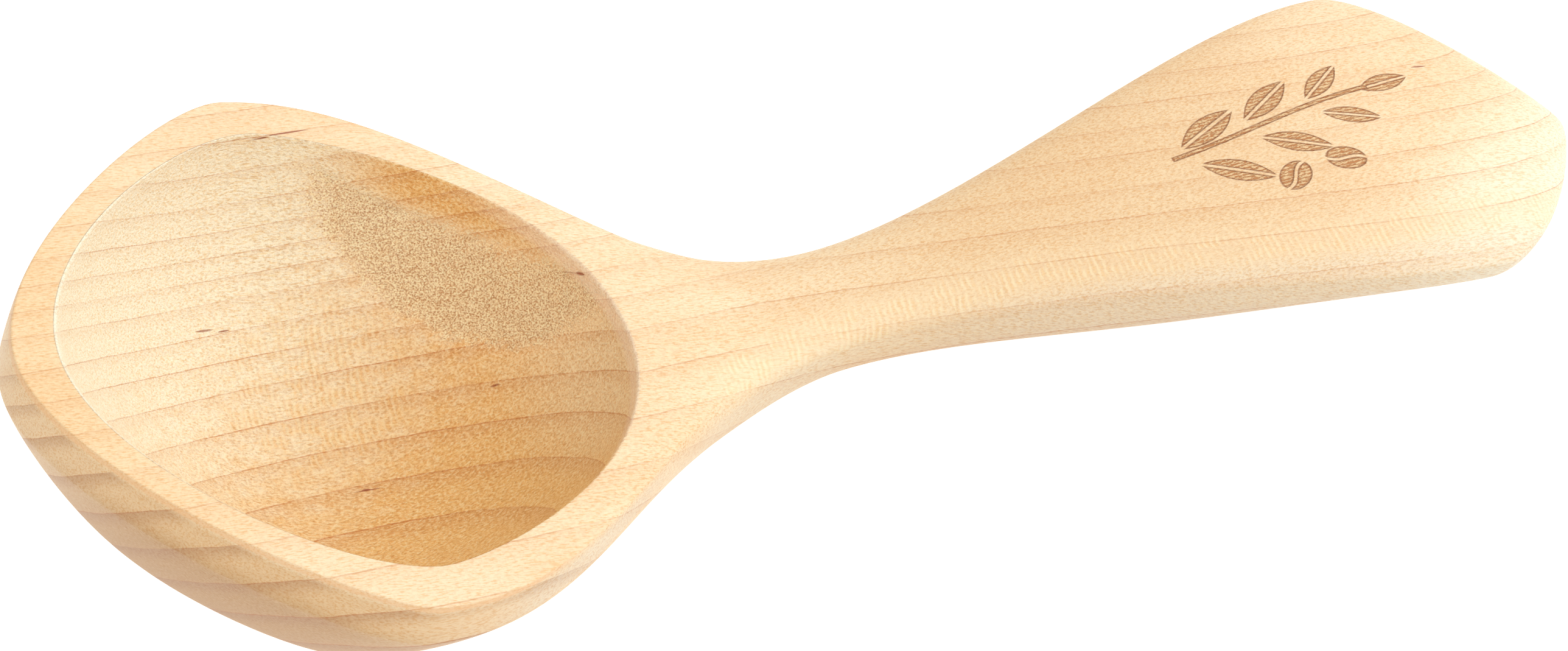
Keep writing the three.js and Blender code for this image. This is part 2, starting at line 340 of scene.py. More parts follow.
def scoop_faces():
    """The whole skin as corner coordinates, and which surface each face belongs to."""
    steps = [FRONT_STEPS, SIDE_STEPS, FLARE_STEPS, TIP_STEPS]
    sampled = [bezier(curve, np.linspace(0, 1, count + 1)) for curve, count in zip(OUTLINE_CURVES, steps)]
    edge = np.concatenate([sampled[0], *(line[1:] for line in sampled[1:])])
    front_way = np.linspace(0, 1, FRONT_STEPS + 1)
    rear_way = np.linspace(0, 1, round(SIDE_STEPS * MOUTH_SHARE) + 1)[1:]
    mouth = np.concatenate([bezier(MOUTH_CURVES[0], front_way), bezier(MOUTH_CURVES[1], rear_way)])

    rear_share = smooth_step(rear_way, 0, 1)
    front_power = mix(WALL_POWER_FRONT, WALL_POWER_SIDE, smooth_step(front_way, 0, 1))
    rear_power = mix(WALL_POWER_SIDE, WALL_POWER_REAR, rear_share)
    power = np.concatenate([front_power, rear_power])[:, None]
    rear = np.concatenate([np.zeros_like(front_way), rear_share])[:, None]
    edge_round = mix(INNER_EDGE_ROUND, INNER_EDGE_ROUND_REAR, rear)
    start = reach_at(edge_round, power)
    inner_mouth = np.hstack([mix(HOLLOW_X, mouth[:, :1], start), mouth[:, 1:] * start])

    band_end_x = mix(HOLLOW_X, MOUTH_REAR_X, reach_at(INNER_EDGE_ROUND_REAR, WALL_POWER_REAR))
    last_mouth_x = edge[len(mouth) - 1, 0]
    join_x = NECK_X + NECK_RUN_OUT
    behind = edge[len(mouth):, 0]
    slanted = mix(band_end_x, join_x, (behind - last_mouth_x) / (join_x - last_mouth_x))
    middle_x = np.where(behind < join_x, slanted, np.minimum(behind, SHOULDER_X))
    inner = np.vstack([inner_mouth, np.stack([middle_x, np.zeros_like(middle_x)], 1)])

    top_rows = EDGE_ROWS + BAND_ROWS
    round_share = np.linspace(1, -1, ROUND_ROWS + 1)[None]
    round_reach = reach_at(round_share * edge_round, power)
    wall_reach = round_reach[:, -1:] * np.linspace(1, 0, HOLLOW_ROWS + 1)[None, 1:]
    reach = np.hstack([round_reach, wall_reach])
    surfaces = [
        strip(under_lines(edge, np.linspace(0, 1, UNDER_ROWS + 1))),
        strip(top_lines(edge, inner, np.linspace(0, 1, top_rows + 1))),
        strip(hollow_lines(mouth, power, edge_round, reach)),
    ]
    half = np.concatenate(surfaces)
    kind = np.repeat([UNDERSIDE, TOP, HOLLOW], [len(faces) for faces in surfaces])
    mirrored = half[:, ::-1] * (1, -1, 1)
    return np.concatenate([half, mirrored]), np.concatenate([kind, kind])


def weld(corners, kind):
    """Points, their kinds and faces: corners that lie together become one, faces without area go."""
    flat = corners.reshape(-1, 3)
    rounded_off = np.round(flat / WELD_DISTANCE).astype(np.int64)
    _, first, number = np.unique(rounded_off, axis=0, return_index=True, return_inverse=True)
    faces = []
    for quad in number.reshape(-1, 4):
        ring = [int(v) for k, v in enumerate(quad) if v != quad[k - 1]]
        if len(set(ring)) >= 3:
            faces.append(ring)
    return flat[first], np.repeat(kind, 4)[first], faces


def tilted(points, tilt):
    """Points turned back about the y axis."""
    x = points[:, 0] * math.cos(tilt) + points[:, 2] * math.sin(tilt)
    z = points[:, 2] * math.cos(tilt) - points[:, 0] * math.sin(tilt)
    return np.stack([x, points[:, 1], z], 1)


def laid_down(points):
    """The scoop's points as it lies on the table, its flats sanded, with the origin under its middle."""
    bowl = points[:, 0] < NECK_X
    small, large = 0.0, LARGEST_TILT
    for _ in range(TILT_HALVINGS):
        tilt = (small + large) / 2
        height = tilted(points, tilt)[:, 2]
        if height[~bowl].min() > height[bowl].min():
            small = tilt
        else:
            large = tilt
    lying = tilted(points, tilt)
    lying[:, 2] = np.maximum(lying[:, 2] - lying[:, 2].min() - FLAT_CUT, 0)
    lying[:, 0] -= (lying[:, 0].min() + lying[:, 0].max()) / 2
    return lying


class Field:
    """A number or vector at each place of a surface: an output socket that can be reckoned with."""

    def __init__(self, nodes, socket):
        self.nodes = nodes
        self.socket = socket

    def _math(self, operation, *others):
        return self.nodes.math(operation, self, *others)

    def __add__(self, other):
        return self._math("ADD", other)

    def __sub__(self, other):
        return self._math("SUBTRACT", other)

    def __mul__(self, other):
        return self._math("MULTIPLY", other)

    def __rsub__(self, other):
        return self.nodes.math("SUBTRACT", other, self)

    __radd__ = __add__


class Nodes:
    """The node tree of a material or the world, and the few kinds of node used here."""

    def __init__(self, owner):
        owner.use_nodes = True
        self.tree = owner.node_tree
        self.tree.nodes.clear()

    def new(self, kind, **settings):
        node = self.tree.nodes.new(kind)
        for name, value in settings.items():
            setattr(node, name, value)
        return node

    def put(self, value, socket):
        if isinstance(value, Field):
            self.tree.links.new(value.socket, socket)
        else:
            socket.default_value = value

    def math(self, operation, *values):
        node = self.new("ShaderNodeMath", operation=operation)
        for value, socket in zip(values, node.inputs):
            self.put(value, socket)
        return Field(self, node.outputs[0])

    def attribute(self, name, output="Fac"):
        return Field(self, self.new("ShaderNodeAttribute", attribute_name=name).outputs[output])

    def parts(self, vector):
        node = self.new("ShaderNodeSeparateXYZ")
        self.put(vector, node.inputs[0])
        return [Field(self, socket) for socket in node.outputs]

    def vectors(self, operation, *values):
        """Vector arithmetic; a length or a dot product comes back as a number."""
        node = self.new("ShaderNodeVectorMath", operation=operation)
        sockets = [node.inputs[0], node.inputs["Scale"]] if operation == "SCALE" else node.inputs
        for value, socket in zip(values, sockets):
            self.put(value, socket)
        return Field(self, node.outputs["Value" if operation in ("LENGTH", "DOT_PRODUCT") else "Vector"])

    def vector(self, x, y, z):
        node = self.new("ShaderNodeCombineXYZ")
        for value, socket in zip((x, y, z), node.inputs):
            self.put(value, socket)
        return Field(self, node.outputs[0])

    def noise(self, vector, scale=1.0, detail=2.0, roughness=0.5):
        node = self.new("ShaderNodeTexNoise")
        self.put(vector, node.inputs["Vector"])
        node.inputs["Scale"].default_value = scale
        node.inputs["Detail"].default_value = detail
        node.inputs["Roughness"].default_value = roughness
        return Field(self, node.outputs["Fac"])

    def smooth(self, value, low, high):
        """0 below low, 1 above high, and a smooth step between; high may lie below low."""
        node = self.new("ShaderNodeMapRange", interpolation_type="SMOOTHSTEP")
        self.put(value, node.inputs["Value"])
        self.put(low, node.inputs["From Min"])
        self.put(high, node.inputs["From Max"])
        return Field(self, node.outputs["Result"])

    def blend(self, share, a, b, how="MIX"):
        """Colours a and b mixed, or b laid over a in another way."""
        node = self.new("ShaderNodeMix", data_type="RGBA", blend_type=how)
        self.put(share, node.inputs["Factor"])
        for value, name in ((a, "A"), (b, "B")):
            socket = next(s for s in node.inputs if s.name == name and s.type == "RGBA")
            self.put(value, socket)
        return Field(self, next(s for s in node.outputs if s.type == "RGBA"))

    def staircase(self, value, steps):
        """0 at the first of the steps, 1 at the second and so on, in straight pieces between."""
        span = steps[-1] - steps[0]
        node = self.new("ShaderNodeFloatCurve")
        curve = node.mapping.curves[0]
        last = len(steps) - 1
        for _ in range(last - 1):
            curve.points.new(0.5, 0.5)
        for i, step in enumerate(steps):
            curve.points[i].location = ((step - steps[0]) / span, i / last)
            curve.points[i].handle_type = "VECTOR"
        node.mapping.update()
        self.put((value - steps[0]) * (1 / span), node.inputs["Value"])
        return Field(self, node.outputs[0]) * last


def colour(*srgb):
    """A colour given as 0 to 255 in the usual screen scale."""
    shares = [v / 255 for v in srgb]
    linear = [v / 12.92 if v <= 0.04045 else ((v + 0.055) / 1.055) ** 2.4 for v in shares]
    return (*linear, 1.0)


# Growth rings: the direction across them in the drawing frame, and how they bend and wander
RING_ANGLE = math.radians(41.4)
RING_SLOPE = -0.0797
RING_CURVE = 0.00121
RING_WAVE = -0.00019
RING_TWIST = 0.00112
WANDER = 0.4
WANDER_SCALE = (0.035, 0.12, 0.12)
FINE_WANDER = 0.14
FINE_WANDER_SCALE = (0.3, 0.9, 0.9)

# Where the late-wood lines lie across the rings: wide rings, a few uneven years, then narrow rings
WIDE_RING = 3.3
WIDE_RINGS_FROM = -45.5
WIDE_RINGS = 13
UNEVEN_LINES = [-3.2, -0.8, 1.9, 3.9, 5.8, 7.9]
NARROW_RING = 2.6
NARROW_RINGS_FROM = 10.2
NARROW_RINGS = 8
RING_LINES = [
    *(WIDE_RINGS_FROM + WIDE_RING * i for i in range(WIDE_RINGS)),
    *UNEVEN_LINES,
    *(NARROW_RINGS_FROM + NARROW_RING * i for i in range(NARROW_RINGS)),
]

# Parts of a ring, as shares of the way from one line to the next
SHADE_FROM = 0.5
LINE_FROM = 0.96
LINE_FULL_FROM = 0.988
LINE_FADED_BY = 0.01

# How much the lines differ in strength: the noise's values from faint to full, and its scales
LINE_STRENGTH = (0.25, 0.65)
STRENGTH_SCALE = 0.06
STRENGTH_STEP = 1.7
STRENGTH_START = 2.0
STRENGTH_SLICE = 3.0

# Scales of the wood's noises along x, y and z, per mm
FIBRE_SCALE = (1.3, 7.0, 7.0)
GRAIN_SCALE = (2.8, 4.4, 4.4)
GRAIN_SHARPNESS = 0.65
TORN_SCALE = (6.0, 7.0, 7.0)
MOTTLE_SCALE = (0.6, 0.8, 0.8)
CLOUD_SCALE = (0.05, 0.14, 0.14)

# Tones of the oiled maple, and of painted highlights, sheen and shade on it
# Milk white: painted highlights at the handle's tip and the mouth's front edge, and the hollow's pale
# part, partly painted sheen
MILK_WOOD_AND_SHEEN = colour(255, 246, 220)
MAPLE_GLINT = colour(255, 238, 192)
# Bone: painted highlight on the flanks
BONE_FLANK_HIGHLIGHT = colour(240, 226, 202)
MAPLE_CREAM = colour(250, 225, 186)
MAPLE_SAND = colour(246, 214, 170)
MAPLE_HONEY = colour(242, 194, 122)
# Tan: the handle's middle, and the base of the painted shade on the bowl's outside
TAN_WOOD_AND_PAINTED_SHADE = colour(234, 196, 146)
# Russet: painted shade low on the bowl's outside
RUSSET_PAINTED_SHADE = colour(200, 155, 99)
# Rose: painted sheen on the mouth's rear edge
ROSE_EDGE_SHEEN = colour(255, 230, 206)
MAPLE_APRICOT = colour(244, 188, 130)
MAPLE_FUZZ = colour(233, 200, 154)

# Marks in the wood, and the tints that darken it
RING_SHADE = colour(212, 148, 86)
WALL_SHADE = colour(174, 118, 74)
RING_BROWN = colour(192, 102, 14)
TEAR_BROWN = colour(172, 110, 54)
STREAK_BROWN = colour(150, 66, 18)
FIBRE_TINT = colour(238, 204, 150)
PORE_TINT = colour(214, 184, 140)
BURNT_LIGHT = colour(240, 202, 150)
BURNT_DARK = colour(194, 128, 72)
BURNT_EDGE = colour(148, 80, 36)


class Wood:
    """What every layer of the maple works with: places in the drawing frame, surfaces and noises."""

    def __init__(self, nodes):
        self.nodes = nodes
        self.drawn = nodes.attribute("drawn", "Vector")
        self.x, self.y, self.z = nodes.parts(self.drawn)
        self.hollow = nodes.attribute("hollow")
        self.underside = nodes.attribute("underside")
        self.top = 1.0 - nodes.math("MINIMUM", self.hollow + self.underside, 1.0)
        self.fibre = self.noise(FIBRE_SCALE)
        self.grain = self.noise(GRAIN_SCALE, roughness=GRAIN_SHARPNESS)
        self.torn = self.noise(TORN_SCALE, detail=1.0)
        self.mottle = self.noise(MOTTLE_SCALE, detail=3.0)
        self.cloud = self.noise(CLOUD_SCALE, detail=3.0)

    def noise(self, scales, **settings):
        return self.nodes.noise(self.nodes.vectors("MULTIPLY", self.drawn, scales), **settings)


def ring_order(wood):
    """How many late-wood lines have been passed, counted across the rings."""
    across = wood.y * math.cos(RING_ANGLE) + wood.z * math.sin(RING_ANGLE)
    along = wood.z * math.cos(RING_ANGLE) - wood.y * math.sin(RING_ANGLE)
    ring = across + wood.x * RING_SLOPE + along * along * RING_CURVE
    ring = ring + wood.x * wood.x * RING_WAVE + wood.x * along * RING_TWIST
    wander = wood.noise(WANDER_SCALE) - 0.5
    fine_wander = wood.noise(FINE_WANDER_SCALE) - 0.5
    return wood.nodes.staircase(ring + wander * WANDER + fine_wander * FINE_WANDER, RING_LINES)


def growth_rings(wood):
    """The soft shade of each ring's late wood, and the fine line that ends it."""
    nodes = wood.nodes
    order = ring_order(wood)
    number = (order - STRENGTH_START) * STRENGTH_STEP
    strength = nodes.noise(nodes.vector(wood.x * STRENGTH_SCALE, number, STRENGTH_SLICE))
    phase = nodes.math("FRACT", order)
    rising = nodes.smooth(phase, LINE_FROM, LINE_FULL_FROM)
    falling = nodes.smooth(phase, LINE_FADED_BY, 0.0)
    line = nodes.math("MAXIMUM", rising, falling) * nodes.smooth(strength, *LINE_STRENGTH)
    return nodes.smooth(phase, SHADE_FROM, 1.0), line


# The zones below begin at the first value and are complete at the second, in mm of the drawing frame.

# The near side of the bowl's outside, painted in shade
OUTSIDE_X = (48.0, 30.0)
OUTSIDE_Y = (8.0, -8.0)
OUTSIDE_Z = (-0.3, -1.0)


def shaded_bowl_outside(wood):
    """1 on the near side of the bowl's outside, where painted shade makes the wood a deeper tan."""
    nodes = wood.nodes
    below_rim = wood.underside + wood.top * nodes.smooth(wood.z, *OUTSIDE_Z)
    return below_rim * nodes.smooth(wood.x, *OUTSIDE_X) * nodes.smooth(wood.y, *OUTSIDE_Y)


# The golden part of the hollow, partly the wood's tone and partly painted shade: towards the neck and the
# near side, and high on the wall behind its middle
GOLD_SLANT = 1.2
GOLD_CLOUD = 6.0
GOLD_MOTTLE = 30.0
GOLD_REACH = (4.0, 46.0)
GOLD_HIGH_Z = (-6.0, -2.0)
GOLD_HIGH_X = (32.0, 42.0)
GOLD_REAR_X = (45.0, 54.0)
GOLD_REAR_LOSS = 0.45


def golden_and_shaded_share(wood):
    """How golden the hollow is, from 0 in the pale part to 1: partly the wood's tone, partly painted
    shade.
    """
    nodes = wood.nodes
    uneven = (wood.cloud - 0.5) * GOLD_CLOUD + (wood.mottle - 0.5) * GOLD_MOTTLE
    gold_and_shade = nodes.smooth(wood.x - wood.y * GOLD_SLANT + uneven, *GOLD_REACH)
    high = nodes.smooth(wood.z, *GOLD_HIGH_Z) * nodes.smooth(wood.x, *GOLD_HIGH_X)
    lost = nodes.smooth(wood.x, *GOLD_REAR_X) * GOLD_REAR_LOSS
    return nodes.math("MAXIMUM", gold_and_shade, high) * (1.0 - lost)


# The other tones, and how much of each is laid over the one before
SAND_CLOUD = (0.35, 0.7)
# A painted highlight makes the handle's tip paler, towards milk white
TIP_SLANT = 1.5
TIP_REACH = (133.0, 155.0)
TIP_HIGHLIGHT_SHARE = 0.75
FRONT_X = (20.0, 0.0)
FRONT_SHARE = 0.3
HANDLE_TAN_MIDDLE = 102.0
HANDLE_TAN_REACH = (34.0, 12.0)
HANDLE_TAN_SHARE = 0.6
# Painted shade on the near side of the bowl's outside: tan, russet towards the bottom, and sand again away
# from its middle
WALL_LOW_Z = (-2.0, -5.6)
WALL_LOW_CLOUD = 3.0
WALL_DARK_MIDDLE = 14.0
WALL_SAND_REACH = (5.0, 17.0)
WALL_SAND_SHARE = 0.85


def plain_tone(wood, gold_and_shade, outside):
    """The broad tones, without rings or grain: the wood's own, a painted highlight at the handle's tip,
    painted shade on the bowl's outside, and the hollow's painted sheen and shade.
    """
    nodes = wood.nodes
    # Painted highlight: paler towards the handle's tip
    tip_highlight = nodes.smooth(wood.x - wood.y * TIP_SLANT, *TIP_REACH)
    open_wood = nodes.blend(nodes.smooth(wood.cloud, *SAND_CLOUD) * (1.0 - tip_highlight), MAPLE_CREAM, MAPLE_SAND)
    open_wood = nodes.blend(tip_highlight * TIP_HIGHLIGHT_SHARE, open_wood, MILK_WOOD_AND_SHEEN)
    open_wood = nodes.blend(nodes.smooth(wood.x, *FRONT_X) * FRONT_SHARE, open_wood, MAPLE_HONEY)
    handle_tan = nodes.smooth(nodes.math("ABSOLUTE", wood.x - HANDLE_TAN_MIDDLE), *HANDLE_TAN_REACH)
    open_wood = nodes.blend(handle_tan * HANDLE_TAN_SHARE, open_wood, TAN_WOOD_AND_PAINTED_SHADE)
    # The hollow runs from milk white, partly painted sheen, to honey, partly painted shade
    tone = nodes.blend(wood.hollow, open_wood, nodes.blend(gold_and_shade, MILK_WOOD_AND_SHEEN, MAPLE_HONEY))
    # Painted shade on the bowl's outside, darker towards the bottom
    low = nodes.smooth(wood.z + (wood.cloud - 0.5) * WALL_LOW_CLOUD, *WALL_LOW_Z)
    wall = nodes.blend(low, TAN_WOOD_AND_PAINTED_SHADE, RUSSET_PAINTED_SHADE)
    wall_sand = nodes.smooth(nodes.math("ABSOLUTE", wood.x - WALL_DARK_MIDDLE), *WALL_SAND_REACH)
    wall = nodes.blend(wall_sand * WALL_SAND_SHARE, wall, MAPLE_SAND)
    return nodes.blend(outside, tone, wall)


# The line along which the handle's near side rolls over: its place at the neck, its shift to either side
ROLL_NECK_Y = -4.2
ROLL_HANDLE_SHIFT = 8.3
ROLL_HANDLE_X = (80.0, 130.0)
ROLL_BOWL_SHIFT = 4.1
ROLL_BOWL_X = (71.0, 58.0)

# The painted highlight on the flank beyond that line, and the one on the outer edge of the near rim
FLANK_OFF_ROLL = (-0.5, -3.0)
FLANK_X = (56.0, 66.0)
RIM_FLANK_Z = (-0.4, -1.4)
RIM_FLANK_Y = (-14.0, -20.0)
RIM_FLANK_X = (30.0, 38.0)
FLANK_HIGHLIGHT_SHARE = 0.5


def off_roll(wood):
    """How far towards the far side of the roll's line a place lies."""
    to_handle = wood.nodes.smooth(wood.x, *ROLL_HANDLE_X) * ROLL_HANDLE_SHIFT
    to_bowl = wood.nodes.smooth(wood.x, *ROLL_BOWL_X) * ROLL_BOWL_SHIFT
    return wood.y - (ROLL_NECK_Y - to_handle - to_bowl)


def with_flank_highlights(wood, tone, roll):
    """The wood with painted highlights on its flanks."""
    nodes = wood.nodes
    flank_highlight = nodes.smooth(roll, *FLANK_OFF_ROLL) * nodes.smooth(wood.x, *FLANK_X)
    rim_side = nodes.smooth(wood.y, *RIM_FLANK_Y) * nodes.smooth(wood.x, *RIM_FLANK_X)
    rim_flank_highlight = wood.top * nodes.smooth(wood.z, *RIM_FLANK_Z) * rim_side
    return nodes.blend(nodes.math("MAXIMUM", flank_highlight, rim_flank_highlight) * FLANK_HIGHLIGHT_SHARE, tone, BONE_FLANK_HIGHLIGHT)


# How much of the late wood's shade and line shows
SHADE_SHARE = 0.14
SHADE_SHARE_GOLD = 0.3
SHADE_SHARE_OUTSIDE = 0.5
LINE_SHARE = 0.45
LINE_SHARE_HOLLOW = 0.2
LINE_BREAKS = (0.4, 0.55)
LINE_LEAST = 0.6


def with_ring_shade(wood, tone, shade, gold_and_shade, outside):
    """The wood with the soft shade of each ring's late wood."""
    share = shade * (SHADE_SHARE + gold_and_shade * wood.hollow * SHADE_SHARE_GOLD) * (1.0 - outside)
    tone = wood.nodes.blend(share, tone, RING_SHADE)
    return wood.nodes.blend(shade * outside * SHADE_SHARE_OUTSIDE, tone, WALL_SHADE)


def with_ring_lines(wood, tone, line):
    """The wood with the fine line that ends each ring, broken along the fibres."""
    broken = LINE_LEAST + wood.nodes.smooth(wood.fibre, *LINE_BREAKS) * (1 - LINE_LEAST)
    share = line * broken * (LINE_SHARE + wood.hollow * LINE_SHARE_HOLLOW)
    return wood.nodes.blend(share, tone, RING_BROWN)


# Dashes along the fibres, pores, and glints between them. The grain is crispest in the rear of the hollow.
DASHES = (0.46, 0.66)
DASH_SHARE = 0.55
CRISP_SLANT = 0.4
CRISP_REACH = (6.0, 26.0)
PORES = (0.42, 0.74)
PORE_SHARE = 0.26
PORE_SHARE_CRISP = 0.4
PORE_LOSS_HOLLOW = 0.1
PORE_LOSS_OUTSIDE = 0.14
GLINTS = (0.55, 0.3)
GLINT_SHARE = 0.2
GLINT_SHARE_CRISP = 0.25
GLINT_LOSS_OUTSIDE = 0.1


def with_grain(wood, tone, outside):
    """The wood with dashes along its fibres, pores and glints."""
    nodes = wood.nodes
    dashes = nodes.smooth(wood.fibre, *DASHES) * DASH_SHARE
    tone = nodes.blend(dashes, tone, nodes.blend(1.0, tone, FIBRE_TINT, "MULTIPLY"))
    crisp = wood.hollow * nodes.smooth(wood.x - wood.y * CRISP_SLANT, *CRISP_REACH)
    pore_loss = wood.hollow * PORE_LOSS_HOLLOW + outside * PORE_LOSS_OUTSIDE
    pores = nodes.smooth(wood.grain, *PORES) * (PORE_SHARE + crisp * PORE_SHARE_CRISP - pore_loss)
    tone = nodes.blend(pores, tone, nodes.blend(1.0, tone, PORE_TINT, "MULTIPLY"))
    glint_share = GLINT_SHARE + crisp * GLINT_SHARE_CRISP - outside * GLINT_LOSS_OUTSIDE
    return nodes.blend(nodes.smooth(wood.grain, *GLINTS) * glint_share, tone, MAPLE_GLINT)


# The ripple across the fibres, painted as sheen: along the roll's line and at a painted highlight in the
# hollow
RIPPLE_OFF_ROLL = (3.4, 0.5)
RIPPLE_X = (56.0, 64.0)
RIPPLE_HIGHLIGHT_MIDDLE = (32.0, 8.0, -15.0)
RIPPLE_REACH = (13.0, 4.0)
RIPPLE_PITCH = 0.6
RIPPLE_BEND = 0.8
RIPPLE_GRAIN = 3.0
RIPPLE_PATCHES = (0.4, 0.65)
RIPPLE_LEAST = 0.4
RIPPLE_HEIGHT = 1.4
ROLL_HIGHLIGHT_SHARE = 0.3
RIPPLE_GLINT_SHARE = 0.45
RIPPLE_HONEY_SHARE = 0.35


def with_ripple_sheen(wood, tone, roll):
    """The wood with a ripple across its fibres painted as sheen, and a painted highlight along the roll's
    line.
    """
    nodes = wood.nodes
    near_roll = nodes.smooth(nodes.math("ABSOLUTE", roll), *RIPPLE_OFF_ROLL)
    near_roll = near_roll * wood.top * nodes.smooth(wood.x, *RIPPLE_X)
    off_middle = nodes.vectors("LENGTH", nodes.vectors("SUBTRACT", wood.drawn, RIPPLE_HIGHLIGHT_MIDDLE))
    in_hollow = nodes.smooth(off_middle, *RIPPLE_REACH) * wood.hollow
    waves = nodes.math("SINE", (wood.x + (wood.mottle - 0.5) * RIPPLE_BEND) * (2 * math.pi / RIPPLE_PITCH))
    patches = RIPPLE_LEAST + nodes.smooth(wood.mottle, *RIPPLE_PATCHES)
    strength = nodes.math("MAXIMUM", near_roll, in_hollow) * patches
    ripple = (waves + (wood.grain - 0.5) * RIPPLE_GRAIN) * strength
    # Painted highlight along the roll's line
    tone = nodes.blend(near_roll * ROLL_HIGHLIGHT_SHARE, tone, MAPLE_CREAM)
    tone = nodes.blend(nodes.smooth(ripple, 0.0, RIPPLE_HEIGHT) * RIPPLE_GLINT_SHARE, tone, MAPLE_GLINT)
    return nodes.blend(nodes.smooth(ripple, 0.0, -RIPPLE_HEIGHT) * RIPPLE_HONEY_SHARE, tone, MAPLE_HONEY)


# The patch of torn fibres in the hollow: an oval as seen from above, and the line that ends it at the top
PATCH_MIDDLE = (43.8, 13.2)
PATCH_TURN = -43.6
PATCH_HALF_LENGTH = 14.5
PATCH_HALF_WIDTH = 2.5
PATCH_EDGE = (1.4, 0.6)
PATCH_EDGE_SCALE = 0.6
PATCH_EDGE_GRAIN = 2.4
PATCH_TOP_X = 42.0
PATCH_TOP_Z = -3.9
PATCH_TOP_CURVE = 0.024
PATCH_TOP_GRAIN = 2.0
PATCH_TOP_SOFTNESS = 0.6
TEARS = (0.5, 0.68)
TEAR_SHARE = 0.8
TUFTS = (0.52, 0.38)
PATCH_SHARE = 0.8


def torn_patch(wood):
    """1 on the patch of torn fibres and 0 away from it."""
    nodes = wood.nodes
    oval = (PATCH_MIDDLE, PATCH_TURN, PATCH_HALF_LENGTH, PATCH_HALF_WIDTH)
    along, across = local_place(nodes, wood.drawn, *oval)
    uneven = nodes.noise(wood.drawn, PATCH_EDGE_SCALE) - 0.5 + (wood.grain - 0.5) * PATCH_EDGE_GRAIN
    spot = nodes.smooth(along * along + across * across + uneven, *PATCH_EDGE)
    off_top_x = wood.x - PATCH_TOP_X
    top_line = off_top_x * off_top_x * PATCH_TOP_CURVE + PATCH_TOP_Z + (wood.grain - 0.5) * PATCH_TOP_GRAIN
    below_top = nodes.smooth(wood.z - top_line, PATCH_TOP_SOFTNESS, -PATCH_TOP_SOFTNESS)
    return spot * wood.hollow * below_top


def with_torn_patch(wood, tone, patch):
    """The wood with the patch of torn fibres: brown tears and pale tufts."""
    nodes = wood.nodes
    torn = nodes.blend(nodes.smooth(wood.torn, *TEARS) * TEAR_SHARE, MAPLE_FUZZ, TEAR_BROWN)
    torn = nodes.blend(nodes.smooth(wood.torn, *TUFTS), torn, MAPLE_GLINT)
    return nodes.blend(patch * PATCH_SHARE, tone, torn)


# Painted highlights on the mouth's rear edge and front edge, and an apricot line along the rim's outer
# edge
REAR_EDGE_Z = (-1.9, -0.9)
REAR_EDGE_X = (42.0, 52.0)
REAR_EDGE_SHEEN_SHARE = 0.4
FRONT_EDGE_Z = (-1.2, -0.4)
FRONT_EDGE_X = (24.0, 14.0)
FRONT_EDGE_HIGHLIGHT_SHARE = 0.3
OUTER_EDGE_Z = -0.3
OUTER_EDGE_REACH = (0.35, 0.1)
OUTER_EDGE_X = (44.0, 34.0)
OUTER_EDGE_SHARE = 0.5


def with_edge_highlights(wood, tone):
    """The wood with painted highlights on the mouth's edges and an apricot line on the rim's outer edge.
    """
    nodes = wood.nodes
    rear = wood.hollow * nodes.smooth(wood.z, *REAR_EDGE_Z) * nodes.smooth(wood.x, *REAR_EDGE_X)
    tone = nodes.blend(rear * REAR_EDGE_SHEEN_SHARE, tone, ROSE_EDGE_SHEEN)
    front = wood.hollow * nodes.smooth(wood.z, *FRONT_EDGE_Z) * nodes.smooth(wood.x, *FRONT_EDGE_X)
    tone = nodes.blend(front * FRONT_EDGE_HIGHLIGHT_SHARE, tone, MILK_WOOD_AND_SHEEN)
    off_edge = nodes.math("ABSOLUTE", wood.z - OUTER_EDGE_Z)
    outer = wood.top * nodes.smooth(off_edge, *OUTER_EDGE_REACH) * nodes.smooth(wood.x, *OUTER_EDGE_X)
    return nodes.blend(outer * OUTER_EDGE_SHARE, tone, MAPLE_APRICOT)


# Dark mineral streaks: both ends on the skin and the half width
STREAKS = {
    "far_lip": ((26.9, 24.13, -0.95), (30.3, 24.15, 0.05), 0.15),
    "far_rim": ((28.9, 24.0, 0.0), (33.4, 24.62, 0.0), 0.15),
    "far_wall": ((22.1, 13.2, -12.4), (24.6, 13.95, -13.05), 0.19),
    "far_wall_tail": ((24.5, 13.72, -13.22), (26.0, 14.15, -13.5), 0.14),
    "rear_wall": ((46.3, 3.9, -12.1), (47.2, 3.65, -11.45), 0.2),
    "floor": ((33.0, -1.42, -18.18), (35.8, -1.56, -17.74), 0.12),
    "floor_core": ((33.9, -1.4, -18.06), (34.8, -1.44, -17.91), 0.2),
    "rear_lip": ((51.4, 8.0, -2.3), (52.5, 6.35, -0.9), 0.15),
    "rear_lip_head": ((52.3, 6.65, -1.1), (52.75, 5.7, -0.48), 0.26),
    "handle": ((134.9, 6.24, 20.03), (136.8, 6.18, 20.17), 0.17),
}
STREAK_SHARE = 0.9
STREAK_CORE = 0.2


def stroke(nodes, place, start, end, width):
    """1 on the line between two places and 0 past its width, thinner towards both ends."""
    start, end = Vector(start), Vector(end)
    along = end - start
    offset = nodes.vectors("SUBTRACT", place, start)
    share = nodes.vectors("DOT_PRODUCT", offset, along / along.length_squared)
    held = nodes.math("MINIMUM", nodes.math("MAXIMUM", share, 0.0), 1.0)
    away = nodes.vectors("LENGTH", nodes.vectors("SUBTRACT", offset, nodes.vectors("SCALE", along, held)))
    taper = held * (1.0 - held) * (4.0 * width)
    return nodes.smooth(away, taper, taper * STREAK_CORE)


def with_streaks(wood, tone):
    """The wood with its mineral streaks."""
    for streak in STREAKS.values():
        share = stroke(wood.nodes, wood.drawn, *streak) * STREAK_SHARE
        tone = wood.nodes.blend(share, tone, STREAK_BROWN)
    return tone


